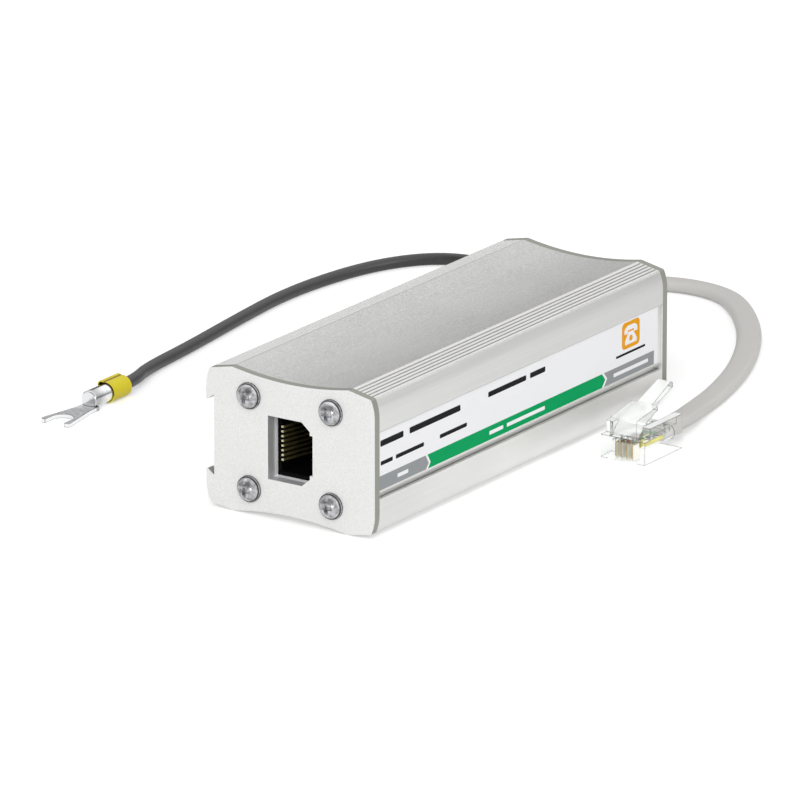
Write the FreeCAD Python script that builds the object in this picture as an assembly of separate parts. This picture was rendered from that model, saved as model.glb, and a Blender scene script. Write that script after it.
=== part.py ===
import FreeCAD, Part
import math
import os

# Telephone line surge protector in an extruded aluminium case, with a modular
# socket in its front end plate, and a flat telephone cable and an earth wire
# that leave the rear end plate. Millimetres, Z up. X runs along the case from
# the socket (-X) to the cables (+X). The label side is -Y and the side with
# the dovetail rail slot is +Y. The origin is below the middle of the case, on
# the surface that it stands on.

V = FreeCAD.Vector

# How far a cutting solid runs past what it cuts
OVER = 1.0

# How close an edge lies to the place that a search for it names
NEAR = 0.01

# Case
BODY_LENGTH = 96.0
BODY_HEIGHT = 27.0
CORNER_Y = 17.4
RIDGE_Y = 12.5
CORNER_FALL = 1.0
SIDE_BULGE = 0.8
SIDE_CURVE_H = 4.6
TOP_SAG = 1.2
RIDGE_ROUND = 0.5
CORNER_ROUND = 0.5
WALL = 1.6
PLATE_T = 1.5

# Grooves along the sloped corners of the case
GROOVE_COUNT = 5
GROOVE_W = 0.42
GROOVE_D = 0.28

# Dovetail rail slot in the back face
SLOT_FLOOR_W = 15.0
SLOT_MOUTH_W = 12.5
SLOT_DEPTH = 1.7
SLOT_ROUND = 0.25

# Label field in the side face
PANEL_Z0 = 7.7
PANEL_TOP_GAP = 7.2
PANEL_DEPTH = 0.3
BEAD_R = 1.1
PANEL_GROOVE_W = 0.45
LABEL_T = 0.12
LABEL_GAP = 0.15
LABEL_FRONT_GAP = 0.2
LABEL_REAR_GAP = 1.4

# Screws and the ports that they cut into
SCREW_Y = 8.85
SCREW_EDGE = 4.8
SCREW_D = 2.8
SCREW_FIT = 0.05
SCREW_LENGTH = 9.0
SCREW_POINT_D = 1.7
SCREW_POINT_L = 1.2
SCREW_HOLE_GAP = 0.2
HEAD_D = 5.0
HEAD_FLANGE_T = 0.45
HEAD_FLANGE_DRAFT = 0.1
HEAD_DOME_D = 4.5
HEAD_CROWN_D = 3.3
HEAD_CROWN_H = 1.3
HEAD_H = 1.7
RECESS_W = 0.75
RECESS_L = 2.5
RECESS_FLOOR_L = 1.1
RECESS_DEPTH = 1.0
PORT_BOSS_D = 4.9
PORT_WEB_W = 2.45
PORT_SLIT_W = 1.2

# Socket
SOCKET_DROP = 0.2
SOCKET_H = 11.9
SOCKET_Y1 = 4.78
SOCKET_CHAMFER_Y = -2.5
SOCKET_STEP_Y = -4.25
SOCKET_STEP_H = 8.9
SOCKET_NOTCH_Y = -4.85
SOCKET_NOTCH_H = 7.5
SHIELD_T = 0.25
SHIELD_LENGTH = 15.0
SOCKET_FIT = 0.04
SOCKET_SETBACK = 3.1
SOCKET_BODY_LENGTH = 13.3
SOCKET_WALL = 0.8
SOCKET_REAR_WALL = 2.2
CONTACT_COUNT = 8
CONTACT_PITCH = 0.88
CONTACT_W = 0.42
CONTACT_T = 0.26
CONTACT_RUN_IN = 0.5
CONTACT_SLOT_W = 0.5
CONTACT_SLOT_OPEN = 0.3
CONTACT_SLOT_GAP = 0.07
CONTACT_BEND = 0.25
CONTACT_ARM_DROP = 0.55
CONTACT_SETBACK = 0.4
CONTACT_END_GAP = 1.6
CONTACT_SLOPE = 0.22
CONTACT_TAIL_GAP = 0.7

# Circuit board and what it carries
BOARD_T = 1.2
BOARD_FIT = 0.05
BOARD_EDGE_GAP = 0.4
BOARD_FRONT_GAP = 1.6
BOARD_REAR_GAP = 7.4
GUIDE_W = 1.2
GUIDE_DEPTH = 1.4
LEAD_D = 0.7
LEAD_STANDOFF = 0.4
TUBE_COUNT = 2
TUBE_D = 5.4
TUBE_L = 7.6
TUBE_CAP_L = 1.3
TUBE_NECK_D = 4.75
TUBE_EDGE = 0.2
TUBE_Z_STEP = 9.6
TUBE_PITCH = 11.5
RESISTOR_D = 3.2
RESISTOR_L = 9.0
RESISTOR_WAIST_D = 2.75
RESISTOR_WAIST_L = 4.0
RESISTOR_EDGE = 0.5
RESISTOR_PITCH = 12.5
DIODE_D = 2.7
DIODE_L = 5.2
DIODE_EDGE = 0.15
DIODE_PITCH = 9.5
PART_ROWS = 4
ROW_INSET = 3.15
COLUMN_GAPS = 4
CORE_D = 0.9
CORE_STEP = 1.1
CORE_INSET = 7.1

# Grommets in the rear plate
CABLE_W = 4.8
CABLE_T = 2.2
WIRE_D = 2.35
CABLE_EXIT_Y = -3.5
WIRE_EXIT_Y = 10.5
GROMMET_WALL = 1.0
GROMMET_LIP = 0.8
GROMMET_LIP_T = 0.9
GROMMET_FIT = 0.05
TAIL_LENGTH = 7.0

# Modular plug on the end of the flat cable
PLUG_NOSE_X = 14.7
PLUG_Y = -29.95
PLUG_L = 12.8
PLUG_W = 9.6
PLUG_H = 6.6
PLUG_STEP_X = 1.8
PLUG_FLOOR_Z = 4.4
PLUG_CHANNEL_W = 6.1
PLUG_ROUND = 0.25
PLUG_CAVITY_Z = 2.6
PLUG_CAVITY_DEPTH = 3.3
PLUG_CAVITY_GAP = 0.15
PLUG_CORE_DEPTH = 6.3
PLUG_WINDOW_INSET = 0.4
PLUG_WINDOW_L = 1.6
BLADE_COUNT = 4
BLADE_PITCH = 1.2
BLADE_T = 0.36
BLADE_SLOT_GAP = 0.05
BLADE_X0 = 0.6
BLADE_L = 2.3
BLADE_Z0 = 0.35
BLADE_H = 2.8
BLADE_SLOT_ROOF = 0.4
BLADE_ROUND = 0.6
CORE_PLUG_D = 0.95

# Latch of the plug
LATCH_W = 5.7
LATCH_HINGE_X = 0.75
LATCH_HINGE_UP = 0.25
LATCH_HINGE_R = 0.5
LATCH_HINGE_GAP = 0.1
LATCH_FRONT_Z = 7.95
LATCH_FRONT_CHAMFER = 0.25
LATCH_WIDE_X = 7.4
LATCH_WIDE_Z = 9.15
LATCH_TIP_X = 14.6
LATCH_TIP_Z = 11.85
LATCH_T = 0.85
LATCH_KNEE_X = 4.0
LATCH_KNEE_T = 1.6
LATCH_THROAT_X = 1.1
LATCH_THROAT_UP = 0.75
LEVER_OVERLAP = 0.8
LEVER_TIP_T = 1.2
LEVER_TIP_CHAMFER = 0.6
LEVER_ROOT_W = 3.4
LEVER_TIP_W = 2.9

# Fork terminal and its sleeve on the end of the earth wire
TERM_Y = 68.2
TERM_BARREL_X = -14.85
SLEEVE_D = 4.0
SLEEVE_L = 5.6
SLEEVE_X = -9.5
LOBE_R = 0.85
LOBE_Y = 0.97
LOBE_UP = 1.32
LOBE_BORE_R = 0.6
LOBE_BORE_L = 3.0
BARREL_D = 3.5
BARREL_ROUND = 0.35
BARREL_OVERLAP = 2.0
BARREL_BORE_GAP = 0.08
SLEEVE_WIRE_DEPTH = 2.0
SLEEVE_WIRE_GAP = 0.1
FORK_T = 0.8
FORK_TIP_X = -25.6
FORK_TIP_W = 6.7
FORK_SLOT_W = 4.3
FORK_SLOT_DEPTH = 4.6
FORK_TAPER_L = 9.15
FORK_NECK_W = 3.4
FORK_TIP_ROUND = 0.6
BARREL_SEAM_W = 0.24
BARREL_SEAM_DEPTH = 0.7
FORK_ROOT_L = 1.0

# Bends of the flat cable and the earth wire from the case outwards: X behind the
# rear plate, Y, and the height of the underside above the floor
CABLE_BENDS = [
    (10.4, -3.5, 12.4), (19.9, 1.8, 10.3), (26.4, 15.9, 5.3), (32.6, 28.2, 1.2), (43.5, 33.0, 0.0),
    (55.1, 29.7, 0.0), (62.3, 20.0, 0.0), (61.9, 8.0, 0.0), (54.0, -1.2, 0.0), (40.5, -11.4, 0.0),
    (24.0, -19.6, 0.0), (8.5, -24.4, 0.0), (-4.0, -26.8, 0.2),
]
WIRE_BENDS = [
    (8.6, 10.5, 12.3), (16.5, 15.0, 10.0), (22.5, 24.5, 6.2), (29.5, 34.5, 2.0), (40.0, 42.0, 0.0),
    (48.4, 47.6, 0.0), (53.2, 56.4, 0.0), (51.4, 66.0, 0.0), (43.2, 72.6, 0.0), (31.0, 76.2, 0.0),
    (14.0, 77.6, 0.0), (-5.0, 75.6, 0.0), (-24.0, 73.2, 0.0), (-39.5, 71.7, 0.15),
]
CABLE_STRAIGHT = 8.8
WIRE_STRAIGHT = 5.4
ARC_SHARE = 0.45

# Sizes that follow from the ones above
HALF_L = BODY_LENGTH / 2
HALF_W = CORNER_Y + SIDE_BULGE
HALF_H = BODY_HEIGHT / 2
PLATE_IN_X = HALF_L - PLATE_T
SIDE_FLAT_HALF = HALF_H - SIDE_CURVE_H
PANEL_Z1 = BODY_HEIGHT - PANEL_TOP_GAP
SCREW_Z = HALF_H - SCREW_EDGE
SOCKET_Z = HALF_H - SOCKET_DROP
EXIT_Z = HALF_H
SLOT_FLOOR_Y = HALF_W - SLOT_DEPTH
PANEL_Y = -(HALF_W - PANEL_DEPTH)
BOARD_Y1 = SCREW_Y - PORT_BOSS_D / 2 - BOARD_FIT
BOARD_Y0 = BOARD_Y1 - BOARD_T
BOARD_X0 = -PLATE_IN_X + BOARD_FRONT_GAP
BOARD_X1 = PLATE_IN_X - BOARD_REAR_GAP
BOARD_H = BODY_HEIGHT - 2 * (WALL + CORNER_FALL + BOARD_EDGE_GAP)
PART_Z_STEP = (BOARD_H - 2 * ROW_INSET) / (PART_ROWS - 1)
SOCKET_X0 = -HALF_L + SOCKET_SETBACK
SOCKET_X1 = SOCKET_X0 + SOCKET_BODY_LENGTH
CONTACT_RUN_Y = SOCKET_Y1 - CONTACT_RUN_IN
CONTACT_TAIL_X = SOCKET_X1 + CONTACT_TAIL_GAP
CORE_X = BOARD_X1 - CORE_INSET
COLUMN_GAP = (CORE_X - CONTACT_TAIL_X - TUBE_PITCH - RESISTOR_PITCH - DIODE_PITCH) / COLUMN_GAPS
TUBE_X = CONTACT_TAIL_X + COLUMN_GAP + TUBE_PITCH / 2
RESISTOR_X = TUBE_X + TUBE_PITCH / 2 + COLUMN_GAP + RESISTOR_PITCH / 2
DIODE_X = RESISTOR_X + RESISTOR_PITCH / 2 + COLUMN_GAP + DIODE_PITCH / 2
GROMMET_OUT_X = HALF_L + GROMMET_LIP_T
GROMMET_IN_X = PLATE_IN_X - GROMMET_LIP_T
PLUG_REAR_X = PLUG_NOSE_X + PLUG_L
CABLE_END_X = PLUG_REAR_X - PLUG_CAVITY_DEPTH
TERM_Z = SLEEVE_D / 2
SLEEVE_END_X = SLEEVE_X + SLEEVE_L
WIRE_END_X = SLEEVE_END_X - SLEEVE_WIRE_DEPTH


def save(name, shape):
    shape.exportStep("parts/" + name + ".step")


def box(x0, x1, y0, y1, z0, z1):
    return Part.makeBox(x1 - x0, y1 - y0, z1 - z0, V(x0, y0, z0))


def line(a, b):
    return Part.LineSegment(a, b).toShape()


def arc(a, m, b):
    return Part.Arc(a, m, b).toShape()


def polygon(points):
    return Part.Wire(Part.makePolygon(points + points[:1]))


def along_x(wire, x0, x1):
    """Solid of a closed outline in the plane x = 0, drawn out from x0 to x1."""
    face = Part.Face(wire)
    face.translate(V(x0, 0, 0))
    return face.extrude(V(x1 - x0, 0, 0))


def along_y(points, y0, y1):
    """Solid of (x, z) corners, drawn out from y0 to y1."""
    face = Part.Face(polygon([V(x, y0, z) for x, z in points]))
    return face.extrude(V(0, y1 - y0, 0))


def rod(a, b, radius):
    axis = b.sub(a)
    return Part.makeCylinder(radius, axis.Length, a, axis)


def stadium(width, thickness, centre):
    """Outline in a plane x = constant: wide along Y, with round short sides."""
    r = thickness / 2
    h = width / 2 - r
    x, y, z = centre
    a = V(x, y - h, z + r)
    b = V(x, y + h, z + r)
    c = V(x, y + h, z - r)
    d = V(x, y - h, z - r)
    right = arc(b, V(x, y + h + r, z), c)
    left = arc(d, V(x, y - h - r, z), a)
    return Part.Wire([line(a, b), right, line(c, d), left])


def fillet_x_edges(shape, radius, wanted):
    """Rounds the straight edges along X whose (y, z) the test wants."""
    picked = []
    for edge in shape.Edges:
        a = edge.Vertexes[0].Point
        b = edge.Vertexes[-1].Point
        if abs(a.y - b.y) < NEAR and abs(a.z - b.z) < NEAR and wanted(a.y, a.z):
            picked.append(edge)
    return shape.makeFillet(radius, picked)


def outer_outline():
    """Outer outline of the case: concave top and underside between two ridges,
    sloped corners, and sides that swell outwards to a flat middle."""
    top = BODY_HEIGHT
    corner_dz = HALF_H - CORNER_FALL
    drop = corner_dz - SIDE_FLAT_HALF
    radius = (drop ** 2 + SIDE_BULGE ** 2) / (2 * SIDE_BULGE)
    angle = math.asin(drop / radius) / 2
    mid_y = HALF_W - radius + radius * math.cos(angle)
    mid_z = SIDE_FLAT_HALF + radius * math.sin(angle)

    def side(sy):
        ridge_top = V(0, sy * RIDGE_Y, top)
        corner_top = V(0, sy * CORNER_Y, HALF_H + corner_dz)
        flat_top = V(0, sy * HALF_W, HALF_H + SIDE_FLAT_HALF)
        flat_low = V(0, sy * HALF_W, HALF_H - SIDE_FLAT_HALF)
        corner_low = V(0, sy * CORNER_Y, HALF_H - corner_dz)
        ridge_low = V(0, sy * RIDGE_Y, 0)
        return [
            line(ridge_top, corner_top),
            arc(corner_top, V(0, sy * mid_y, HALF_H + mid_z), flat_top),
            line(flat_top, flat_low),
            arc(flat_low, V(0, sy * mid_y, HALF_H - mid_z), corner_low),
            line(corner_low, ridge_low),
        ]

    crown = arc(V(0, -RIDGE_Y, top), V(0, 0, top - TOP_SAG), V(0, RIDGE_Y, top))
    base = arc(V(0, -RIDGE_Y, 0), V(0, 0, TOP_SAG), V(0, RIDGE_Y, 0))
    edges = [crown] + side(1) + [base] + side(-1)
    return Part.Wire(Part.__sortEdges__(edges))


def rail_slot(x0, x1):
    """Undercut slot in the back face, for a dovetail rail."""
    out = HALF_W + OVER
    widen = (SLOT_FLOOR_W - SLOT_MOUTH_W) / 2 / SLOT_DEPTH
    mouth = SLOT_MOUTH_W / 2 - widen * OVER
    floor = SLOT_FLOOR_W / 2
    points = [
        V(0, out, HALF_H + mouth),
        V(0, SLOT_FLOOR_Y, HALF_H + floor),
        V(0, SLOT_FLOOR_Y, HALF_H - floor),
        V(0, out, HALF_H - mouth),
    ]
    return along_x(polygon(points), x0, x1)


def end_blank(x0, x1):
    """The case's outline as a solid, with rounded ridges and the rail slot."""
    blank = along_x(outer_outline(), x0, x1)

    def is_ridge(y, z):
        return abs(abs(y) - RIDGE_Y) < NEAR

    def is_corner(y, z):
        return abs(abs(y) - CORNER_Y) < NEAR

    blank = fillet_x_edges(blank, RIDGE_ROUND, is_ridge)
    blank = fillet_x_edges(blank, CORNER_ROUND, is_corner)
    blank = blank.cut(rail_slot(x0 - OVER, x1 + OVER))

    def is_lip(y, z):
        return abs(y - HALF_W) < NEAR and abs(abs(z - HALF_H) - SLOT_MOUTH_W / 2) < NEAR

    return fillet_x_edges(blank, SLOT_ROUND, is_lip)


def corner_grooves(x0, x1):
    """Fine V grooves along the four sloped corner faces."""
    grooves = []
    run = math.hypot(CORNER_Y - RIDGE_Y, CORNER_FALL)
    along = V(0, (CORNER_Y - RIDGE_Y) / run, -CORNER_FALL / run)
    normal = V(0, CORNER_FALL / run, (CORNER_Y - RIDGE_Y) / run)
    for index in range(GROOVE_COUNT):
        share = (index + 1) / (GROOVE_COUNT + 1)
        middle = V(0, RIDGE_Y, HALF_H) + along * (run * share)
        lip = normal * GROOVE_D
        half = along * (GROOVE_W / 2)
        corners = [middle - half * 2 + lip, middle + half * 2 + lip, middle - normal * GROOVE_D]
        for sy in (1, -1):
            for sz in (1, -1):
                points = [V(0, sy * c.y, HALF_H + sz * c.z) for c in corners]
                grooves.append(along_x(polygon(points), x0, x1))
    return grooves


def label_field(x0, x1):
    """What is cut for the sunk label field, its round lower bead and groove."""
    out = -(HALF_W + OVER)
    bead_y = PANEL_Y + BEAD_R
    groove_z0 = PANEL_Z0 - PANEL_GROOVE_W
    tilt = BEAD_R * (1 - math.sqrt(0.5))
    panel_top = V(0, PANEL_Y, PANEL_Z1)
    bead_top = V(0, PANEL_Y, PANEL_Z0 + BEAD_R)
    bead_mid = V(0, PANEL_Y + tilt, PANEL_Z0 + tilt)
    bead_end = V(0, bead_y, PANEL_Z0)
    groove_in = V(0, bead_y, groove_z0)
    groove_out = V(0, out, groove_z0)
    top_out = V(0, out, PANEL_Z1)
    edges = [
        line(panel_top, bead_top),
        arc(bead_top, bead_mid, bead_end),
        line(bead_end, groove_in),
        line(groove_in, groove_out),
        line(groove_out, top_out),
        line(top_out, panel_top),
    ]
    return along_x(Part.Wire(edges), x0, x1)


def cavity(x0, x1):
    """The hollow of the case, with walls that follow its outline."""
    left = -(HALF_W - PANEL_DEPTH - BEAD_R - WALL)
    right = SLOT_FLOOR_Y - WALL
    low = WALL + CORNER_FALL
    high = BODY_HEIGHT - low
    ridge = RIDGE_Y - WALL
    crown = arc(V(0, -ridge, high), V(0, 0, BODY_HEIGHT - TOP_SAG - WALL), V(0, ridge, high))
    base = arc(V(0, ridge, low), V(0, 0, TOP_SAG + WALL), V(0, -ridge, low))
    edges = [
        crown,
        line(V(0, ridge, high), V(0, right, high)),
        line(V(0, right, high), V(0, right, low)),
        line(V(0, right, low), V(0, ridge, low)),
        base,
        line(V(0, -ridge, low), V(0, left, low)),
        line(V(0, left, low), V(0, left, high)),
        line(V(0, left, high), V(0, -ridge, high)),
    ]
    return along_x(Part.Wire(edges), x0, x1)


def screw_places():
    return [(sy * SCREW_Y, HALF_H + sz * SCREW_Z) for sy in (1, -1) for sz in (1, -1)]


def housing():
    x0 = -PLATE_IN_X
    x1 = PLATE_IN_X
    blank = end_blank(x0, x1)
    inside = cavity(x0 - OVER, x1 + OVER)
    port_r = SCREW_D / 2 + SCREW_FIT
    for y, z in screw_places():
        up = 1 if z > HALF_H else -1
        boss = rod(V(x0 - OVER, y, z), V(x1 + OVER, y, z), PORT_BOSS_D / 2)
        z_wall = z + up * (BODY_HEIGHT / 2 - SCREW_Z)
        half_web = PORT_WEB_W / 2
        web = box(x0 - OVER, x1 + OVER, y - half_web, y + half_web, min(z, z_wall), max(z, z_wall))
        inside = inside.cut(boss.fuse(web))
    for up in (1, -1):
        z_a = HALF_H + up * (BOARD_H / 2 - GUIDE_DEPTH)
        z_b = HALF_H + up * HALF_H
        y_a = BOARD_Y0 - BOARD_FIT
        rib = box(x0 - OVER, x1 + OVER, y_a - GUIDE_W, y_a, min(z_a, z_b), max(z_a, z_b))
        inside = inside.cut(rib)
    case = blank.cut(inside)
    ports = [rod(V(x0 - OVER, y, z), V(x1 + OVER, y, z), port_r) for y, z in screw_places()]
    slits = []
    for y, z in screw_places():
        inward = -1 if z > HALF_H else 1
        z_a = z + inward * PORT_BOSS_D
        half_slit = PORT_SLIT_W / 2
        slits.append(box(x0 - OVER, x1 + OVER, y - half_slit, y + half_slit, min(z, z_a), max(z, z_a)))
    case = case.cut(ports + slits)
    case = case.cut(corner_grooves(x0 - OVER, x1 + OVER))
    return case.cut(label_field(x0 - OVER, x1 + OVER))


def socket_outline(grow):
    """Outline of the socket mouth, square at the contacts and stepped at the
    latch side, made larger or smaller all round."""
    half = SOCKET_H / 2
    step = SOCKET_STEP_H / 2
    notch = SOCKET_NOTCH_H / 2
    upper = [
        (SOCKET_Y1, half),
        (SOCKET_CHAMFER_Y, half),
        (SOCKET_STEP_Y, step),
        (SOCKET_STEP_Y, notch),
        (SOCKET_NOTCH_Y, notch),
    ]
    lower = [(y, -z) for y, z in reversed(upper)]
    wire = polygon([V(0, y, SOCKET_Z + z) for y, z in upper + lower])
    if grow:
        wire = wire.makeOffset2D(grow, 2)
    return wire


def end_plate(x0, x1):
    plate = end_blank(x0, x1)
    hole_r = SCREW_D / 2 + SCREW_HOLE_GAP
    holes = [rod(V(x0 - OVER, y, z), V(x1 + OVER, y, z), hole_r) for y, z in screw_places()]
    return plate.cut(holes)


def front_plate():
    plate = end_plate(-HALF_L, -PLATE_IN_X)
    return plate.cut(along_x(socket_outline(0), -HALF_L - OVER, -PLATE_IN_X + OVER))


def rear_plate():
    plate = end_plate(PLATE_IN_X, HALF_L)
    cable_hole = stadium(CABLE_W + 2 * GROMMET_WALL, CABLE_T + 2 * GROMMET_WALL, (0, CABLE_EXIT_Y, EXIT_Z))
    wire_hole_r = WIRE_D / 2 + GROMMET_WALL
    x0 = PLATE_IN_X - OVER
    x1 = HALF_L + OVER
    wire_hole = rod(V(x0, WIRE_EXIT_Y, EXIT_Z), V(x1, WIRE_EXIT_Y, EXIT_Z), wire_hole_r)
    return plate.cut([along_x(cable_hole, x0, x1), wire_hole])


def screw(y, z, side):
    """Flanged pan head screw with a cross recess; side is the way its head faces along X."""
    dome_r = HEAD_DOME_D / 2
    flange_r = HEAD_D / 2 - HEAD_FLANGE_DRAFT
    shank_r = SCREW_D / 2
    tip = -SCREW_LENGTH
    profile = [
        line(V(tip, 0, 0), V(tip, SCREW_POINT_D / 2, 0)),
        line(V(tip, SCREW_POINT_D / 2, 0), V(tip + SCREW_POINT_L, shank_r, 0)),
        line(V(tip + SCREW_POINT_L, shank_r, 0), V(0, shank_r, 0)),
        line(V(0, shank_r, 0), V(0, HEAD_D / 2, 0)),
        line(V(0, HEAD_D / 2, 0), V(HEAD_FLANGE_T, flange_r, 0)),
        line(V(HEAD_FLANGE_T, flange_r, 0), V(HEAD_FLANGE_T, dome_r, 0)),
        arc(V(HEAD_FLANGE_T, dome_r, 0), V(HEAD_CROWN_H, HEAD_CROWN_D / 2, 0), V(HEAD_H, 0, 0)),
        line(V(HEAD_H, 0, 0), V(tip, 0, 0)),
    ]
    body = Part.Face(Part.Wire(profile)).revolve(V(0, 0, 0), V(1, 0, 0), 360)
    floor = HEAD_H - RECESS_DEPTH
    for angle in (0, 90):
        half_w = RECESS_W / 2
        half_l = RECESS_L / 2
        half_floor = RECESS_FLOOR_L / 2
        slot = Part.Face(polygon([
            V(HEAD_H, -half_l, -half_w),
            V(HEAD_H + OVER, -half_l, -half_w),
            V(HEAD_H + OVER, half_l, -half_w),
            V(HEAD_H, half_l, -half_w),
            V(floor, half_floor, -half_w),
            V(floor, -half_floor, -half_w),
        ])).extrude(V(0, 0, RECESS_W))
        slot.rotate(V(0, 0, 0), V(1, 0, 0), angle)
        body = body.cut(slot)
    if side < 0:
        body.rotate(V(0, 0, 0), V(0, 0, 1), 180)
    body.translate(V(side * HALF_L, y, z))
    return body


def screws(side):
    return Part.makeCompound([screw(y, z, side) for y, z in screw_places()])


def label():
    z0 = PANEL_Z0 + BEAD_R
    z1 = PANEL_Z1 - LABEL_GAP
    x0 = -PLATE_IN_X + LABEL_FRONT_GAP
    x1 = PLATE_IN_X - LABEL_REAR_GAP
    return box(x0, x1, PANEL_Y - LABEL_T, PANEL_Y, z0, z1)


def circuit_board():
    return box(BOARD_X0, BOARD_X1, BOARD_Y0, BOARD_Y1, HALF_H - BOARD_H / 2, HALF_H + BOARD_H / 2)


def socket_shield():
    x0 = -PLATE_IN_X
    x1 = x0 + SHIELD_LENGTH
    outer = along_x(socket_outline(SHIELD_T), x0, x1)
    return outer.cut(along_x(socket_outline(0), x0 - OVER, x1 + OVER))


def contact_heights():
    middle = (CONTACT_COUNT - 1) / 2
    return [SOCKET_Z + (index - middle) * CONTACT_PITCH for index in range(CONTACT_COUNT)]


def socket_body():
    """Black insert: cavity for the plug, and a comb of slots for the contacts."""
    body = along_x(socket_outline(-SOCKET_FIT), SOCKET_X0, SOCKET_X1)
    hollow = along_x(socket_outline(-SOCKET_WALL), SOCKET_X0 - OVER, SOCKET_X1 - SOCKET_REAR_WALL)
    body = body.cut(hollow)
    y0 = SOCKET_Y1 - SOCKET_WALL - CONTACT_SLOT_OPEN
    y1 = CONTACT_RUN_Y + CONTACT_T / 2 + CONTACT_SLOT_GAP
    half = CONTACT_SLOT_W / 2
    x0 = SOCKET_X0 - OVER
    x1 = SOCKET_X1 + OVER
    slots = [box(x0, x1, y0, y1, z - half, z + half) for z in contact_heights()]
    return body.cut(slots)


def strip(points, thickness, z, width):
    """Bent sheet strip: its middle line in (x, y), its width along Z."""
    half = thickness / 2
    count = len(points)
    left = []
    right = []
    for index in range(count):
        ahead = points[min(index + 1, count - 1)]
        here = points[index]
        behind = points[max(index - 1, 0)]
        a = V(here[0] - behind[0], here[1] - behind[1], 0)
        b = V(ahead[0] - here[0], ahead[1] - here[1], 0)
        if index == 0:
            a = b
        if index == count - 1:
            b = a
        a.normalize()
        b.normalize()
        miter = V(-a.y - b.y, a.x + b.x, 0)
        scale = half * 2 / miter.Length ** 2
        left.append(V(here[0] + miter.x * scale, here[1] + miter.y * scale, z - width / 2))
        right.append(V(here[0] - miter.x * scale, here[1] - miter.y * scale, z - width / 2))
    outline = polygon(left + right[::-1])
    return Part.Face(outline).extrude(V(0, 0, width))


def socket_contact(z):
    """Gold spring wire: tail on the board, a run along the comb to the mouth,
    a tight bend there, and a free arm that slopes back into the cavity."""
    bend_x = SOCKET_X0 + CONTACT_SETBACK
    arm_y = CONTACT_RUN_Y - CONTACT_ARM_DROP
    end_x = SOCKET_X1 - SOCKET_REAR_WALL - CONTACT_END_GAP
    chamfer = CONTACT_BEND / 2
    points = [
        (CONTACT_TAIL_X, BOARD_Y0),
        (CONTACT_TAIL_X, CONTACT_RUN_Y),
        (bend_x + CONTACT_BEND, CONTACT_RUN_Y),
        (bend_x, CONTACT_RUN_Y - chamfer),
        (bend_x, arm_y + chamfer),
        (bend_x + CONTACT_BEND, arm_y),
        (end_x, arm_y - CONTACT_SLOPE * (end_x - bend_x)),
    ]
    return strip(points, CONTACT_T, z, CONTACT_W)


def leaded_part(x, z, profile, pitch, body_r):
    """Part lying along X beside the board: a turned body and two bent leads."""
    axis_y = BOARD_Y0 - LEAD_STANDOFF - body_r
    body = Part.Face(Part.Wire(profile)).revolve(V(0, 0, 0), V(1, 0, 0), 360)
    body.translate(V(x, axis_y, z))
    lead_r = LEAD_D / 2
    for side in (1, -1):
        x_end = x + side * pitch / 2
        body = body.fuse(rod(V(x, axis_y, z), V(x_end, axis_y, z), lead_r))
        elbow = Part.makeSphere(lead_r, V(x_end, axis_y, z))
        body = body.fuse(elbow)
        body = body.fuse(rod(V(x_end, axis_y, z), V(x_end, BOARD_Y0, z), lead_r))
    return body


def turned(points):
    return [line(V(a[0], a[1], 0), V(b[0], b[1], 0)) for a, b in zip(points, points[1:] + points[:1])]


def gas_tube(index):
    z = HALF_H + (index - (TUBE_COUNT - 1) / 2) * TUBE_Z_STEP
    r = TUBE_D / 2
    h = TUBE_L / 2
    cap = h - TUBE_CAP_L
    neck = TUBE_NECK_D / 2
    edge = TUBE_EDGE
    profile = turned([
        (-h, 0), (-h, r - edge), (-h + edge, r), (-cap, r), (-cap, neck),
        (cap, neck), (cap, r), (h - edge, r), (h, r - edge), (h, 0),
    ])
    return leaded_part(TUBE_X, z, profile, TUBE_PITCH, r)


def row_height(index):
    return HALF_H + (index - (PART_ROWS - 1) / 2) * PART_Z_STEP


def series_resistor(index):
    r = RESISTOR_D / 2
    h = RESISTOR_L / 2
    waist = RESISTOR_WAIST_D / 2
    half_waist = RESISTOR_WAIST_L / 2
    edge = RESISTOR_EDGE
    bell = half_waist + edge
    profile = turned([
        (-h, 0), (-h, r - edge), (-h + edge, r), (-bell, r), (-half_waist, waist),
        (half_waist, waist), (bell, r), (h - edge, r), (h, r - edge), (h, 0),
    ])
    return leaded_part(RESISTOR_X, row_height(index), profile, RESISTOR_PITCH, r)


def clamp_diode(index):
    r = DIODE_D / 2
    h = DIODE_L / 2
    edge = DIODE_EDGE
    profile = turned([(-h, 0), (-h, r - edge), (-h + edge, r), (h - edge, r), (h, r - edge), (h, 0)])
    return leaded_part(DIODE_X, row_height(index), profile, DIODE_PITCH, r)


def cable_tail():
    """The flat cable's end inside the case, from its grommet inwards."""
    section = stadium(CABLE_W, CABLE_T, (0, CABLE_EXIT_Y, EXIT_Z))
    return along_x(section, GROMMET_IN_X - TAIL_LENGTH, GROMMET_IN_X)


def core_offsets():
    return [(index - (PART_ROWS - 1) / 2) * CORE_STEP for index in range(PART_ROWS)]


def inner_cores():
    """Four insulated cores from the cable's end to the board."""
    x_tail = GROMMET_IN_X - TAIL_LENGTH
    r = CORE_D / 2
    cores = []
    for index, offset in enumerate(core_offsets()):
        y = CABLE_EXIT_Y + offset
        z = row_height(index)
        a = V(x_tail, y, EXIT_Z)
        b = V(CORE_X, y, z)
        c = V(CORE_X, BOARD_Y0, z)
        core = rod(a, b, r).fuse(Part.makeSphere(r, b)).fuse(rod(b, c, r))
        low = EXIT_Z - CORE_D
        high = EXIT_Z + CORE_D
        cores.append(core.cut(box(x_tail, x_tail + OVER, y - CORE_D, y + CORE_D, low, high)))
    return Part.makeCompound(cores)


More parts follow.
